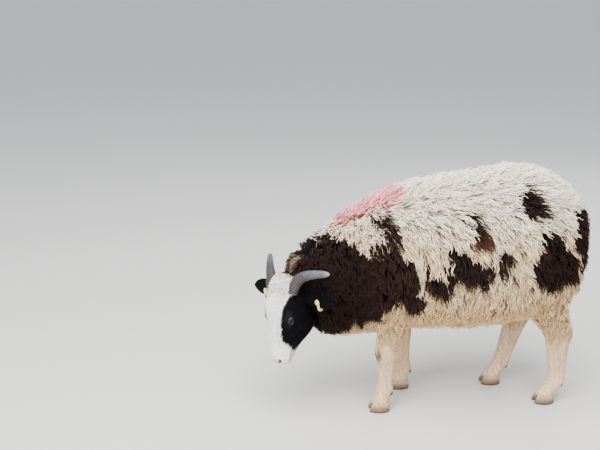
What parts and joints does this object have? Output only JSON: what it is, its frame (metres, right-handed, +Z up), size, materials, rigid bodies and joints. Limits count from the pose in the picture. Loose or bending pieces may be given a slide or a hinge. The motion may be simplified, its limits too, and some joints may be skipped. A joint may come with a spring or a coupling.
{
  "type": "jacob sheep",
  "caption": "Life-size still model of a two-horned piebald sheep with a shaggy fleece, standing with its head lowered and turned.",
  "frame": {"origin": "on the floor under the middle of the bounding box", "axes": "+Z up, -X towards the head, -Y on the animal's left side"},
  "size_m": [0.9424, 0.3496, 0.6852],
  "materials": {
    "fleece": "shaggy wool, cream with dark brown patches",
    "face_hair": "short hair, white with black cheeks",
    "ear_hair": "short hair, black",
    "leg_hair": "short hair, cream",
    "horn": "ringed horn",
    "hoof": "dull horn",
    "eye": "wet gloss",
    "ear_tag": "satin, plain"
  },
  "bodies": {
    "root": {"barrel": "fleece", "ear_left": "ear_hair", "ear_right": "ear_hair", "ear_tag_left": "ear_tag", "ear_tag_right": "ear_tag", "eye_left": "eye", "eye_right": "eye", "head": "face_hair", "hindquarters": "fleece", "hoof_inner_left_fore": "hoof", "hoof_inner_left_hind": "hoof", "hoof_inner_right_fore": "hoof", "hoof_inner_right_hind": "hoof", "hoof_outer_left_fore": "hoof", "hoof_outer_left_hind": "hoof", "hoof_outer_right_fore": "hoof", "hoof_outer_right_hind": "hoof", "horn_left": "horn", "horn_right": "horn", "lower_leg_left_fore": "leg_hair", "lower_leg_left_hind": "leg_hair", "lower_leg_right_fore": "leg_hair", "lower_leg_right_hind": "leg_hair", "neck": "fleece", "shoulders": "fleece", "tail": "fleece", "upper_leg_left_fore": "fleece", "upper_leg_left_hind": "fleece", "upper_leg_right_fore": "fleece", "upper_leg_right_hind": "fleece"}
  },
  "joints": []
}
